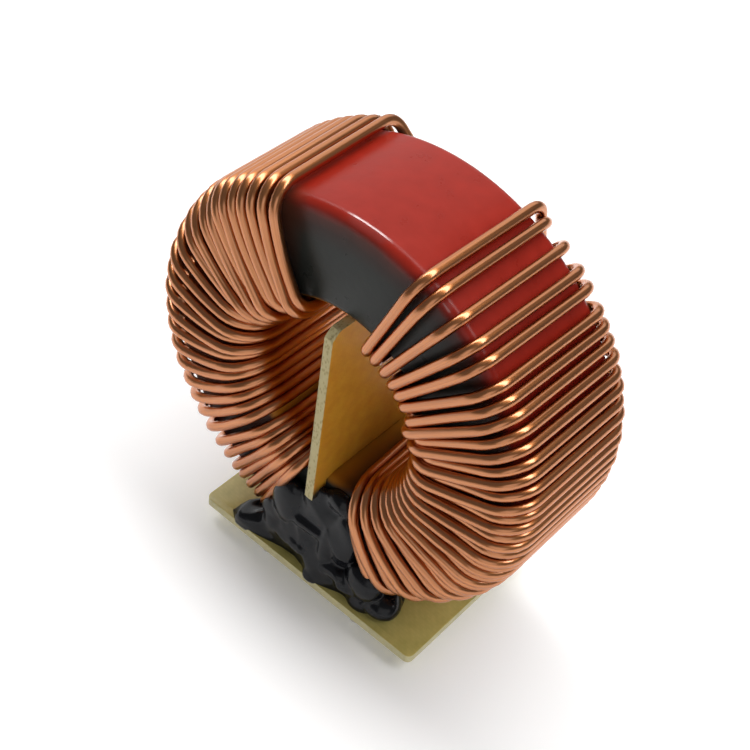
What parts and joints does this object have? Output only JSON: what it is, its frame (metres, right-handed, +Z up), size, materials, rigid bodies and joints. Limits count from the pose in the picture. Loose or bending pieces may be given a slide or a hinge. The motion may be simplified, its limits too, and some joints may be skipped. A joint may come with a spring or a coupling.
{
  "type": "toroidal inductor",
  "caption": "Common-mode inductor: a red coated ring core on edge with two copper windings, a divider board in the bore and a glued base board with leads below.",
  "frame": {"origin": "middle of the base board's underside", "axes": "+Z up, the ring's axis along Y, the open front towards -Y"},
  "size_m": [0.0638, 0.0309, 0.0663],
  "materials": {
    "core_coat": "gloss",
    "enamelled_copper": "gloss",
    "amber_board": "satin",
    "olive_board": "satin",
    "black_glue": "gloss"
  },
  "bodies": {
    "root": {"core": "core_coat", "winding_left": "enamelled_copper", "winding_right": "enamelled_copper", "separator_board": "amber_board", "base_plate": "olive_board", "adhesive": "black_glue"}
  },
  "joints": []
}
